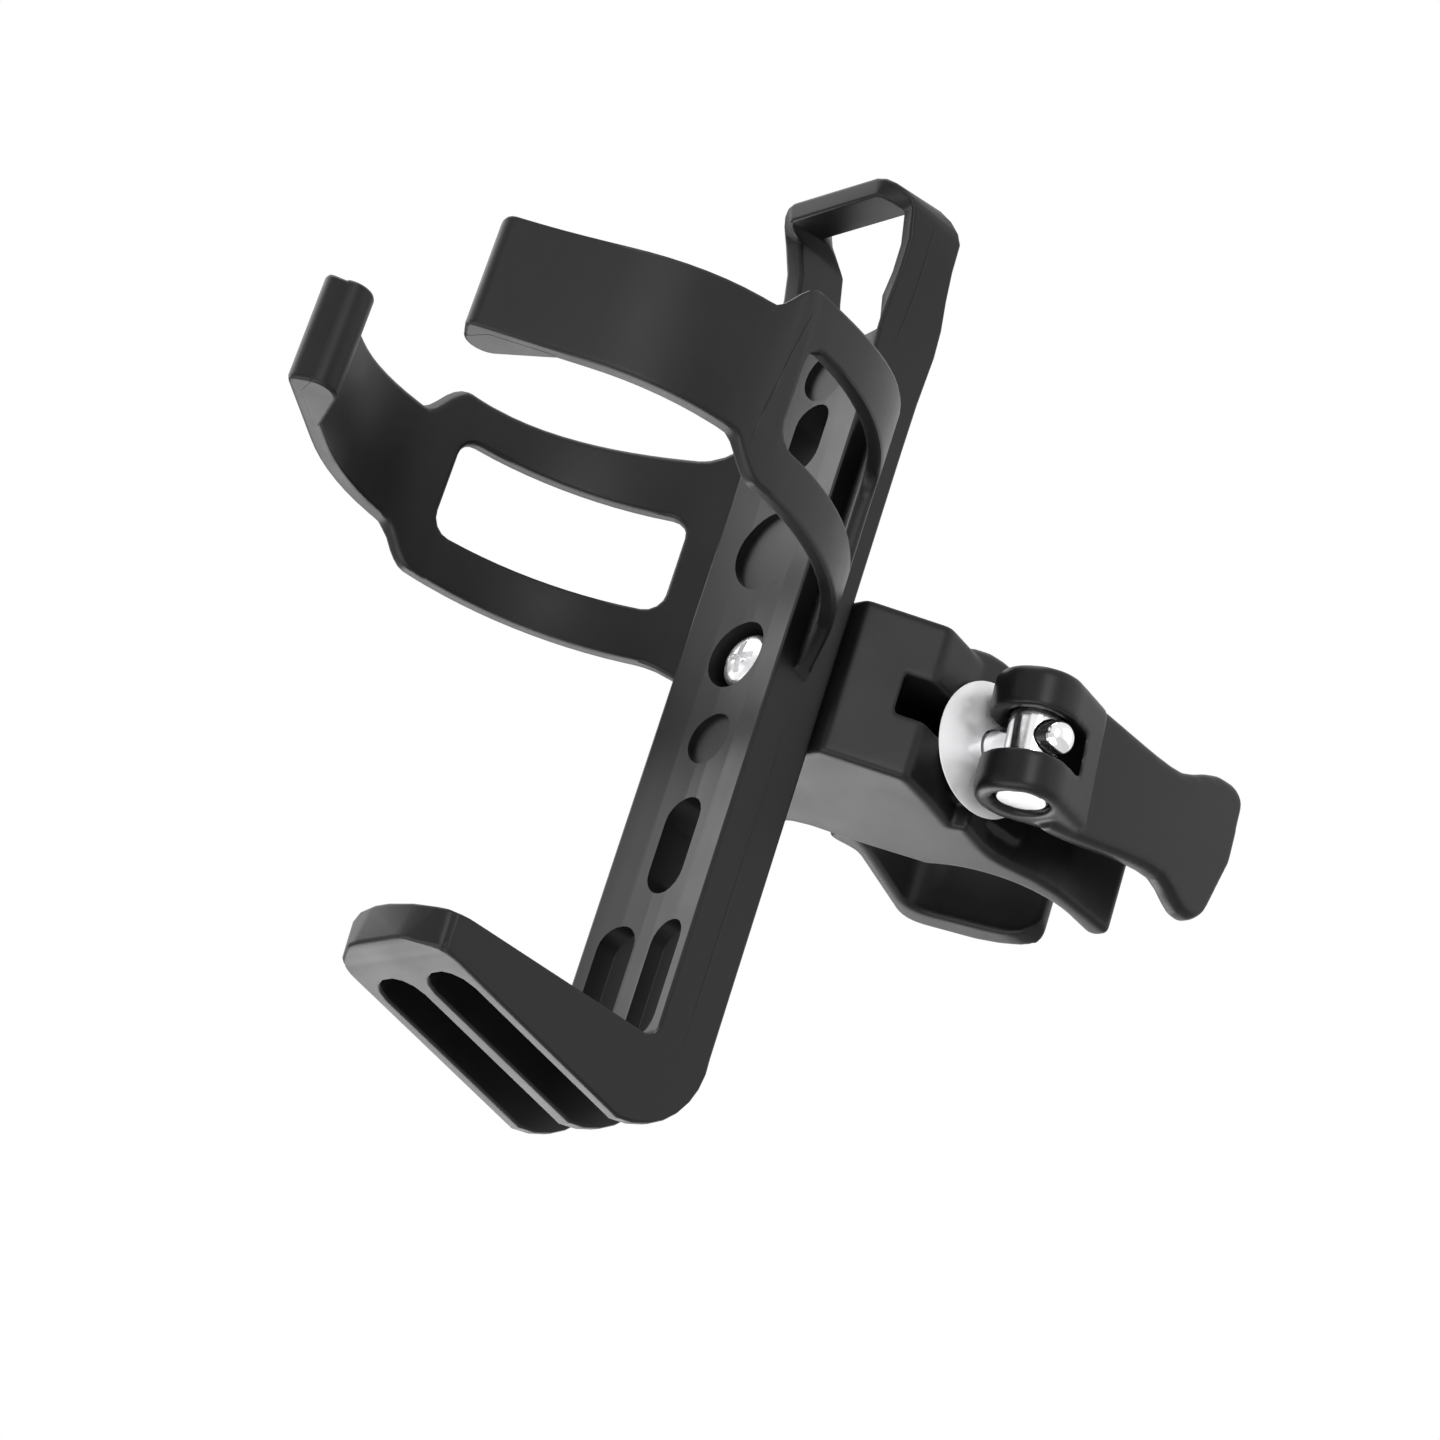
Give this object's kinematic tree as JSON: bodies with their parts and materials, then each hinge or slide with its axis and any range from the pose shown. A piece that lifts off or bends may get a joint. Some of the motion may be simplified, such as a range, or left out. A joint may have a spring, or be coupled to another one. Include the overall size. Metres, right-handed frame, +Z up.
{
  "type": "water bottle cage",
  "caption": "Moulded water bottle cage with sprung arms, a foot and a top loop, screwed to a hinged tube clamp that a cam lever on a T-headed bolt draws tight.",
  "frame": {"origin": "on the axis of the clamped tube, level with the cage screw", "axes": "+Z up along the tube and the spine, -Y towards the bottle, +X towards the lever"},
  "size_m": [0.0756, 0.1498, 0.1502],
  "materials": {
    "cage_plastic": "satin black, finely textured moulding",
    "clamp_plastic": "satin black moulding",
    "lever_plastic": "satin black moulding",
    "bright_chrome": "bright plated",
    "zinc_steel": "zinc plated"
  },
  "bodies": {
    "frame": {"cage_body": "cage_plastic", "cage_screw": "bright_chrome", "screw_washer": "zinc_steel", "captive_nut": "zinc_steel", "clamp_body": "clamp_plastic", "hinge_pin": "zinc_steel", "dished_washer": "bright_chrome"},
    "bolt": {"clamp_bolt": "bright_chrome"},
    "barrel": {"pivot_barrel": "bright_chrome"},
    "lever": {"cam_lever": "lever_plastic"},
    "jaw": {"swing_jaw": "clamp_plastic"}
  },
  "joints": [
    {"name": "jaw_swing", "type": "hinge", "parent": "frame", "child": "jaw", "pos_m": [-0.0096, -0.0402, 0], "axis": [0, 0, 1], "range_deg": [0, 4.5]},
    {"name": "bolt_rock", "type": "hinge", "parent": "jaw", "child": "bolt", "pos_m": [-0.0134, -0.0238, 0], "axis": [0, 0, 1], "range_deg": [-4, 0]},
    {"name": "lever_swivel", "type": "hinge", "parent": "bolt", "child": "barrel", "pos_m": [0.0282, -0.0238, 0], "axis": [1, 0, 0], "range_deg": [-90, 90]},
    {"name": "lever_pivot", "type": "hinge", "parent": "barrel", "child": "lever", "pos_m": [0.0282, -0.0238, 0], "axis": [0, 0.1045, -0.9945], "range_deg": [0, 110]}
  ],
  "couplings": [
    {"joint": "jaw_swing", "follows": "lever_pivot", "ratio": 0.0381},
    {"joint": "bolt_rock", "follows": "lever_pivot", "ratio": -0.0331}
  ]
}
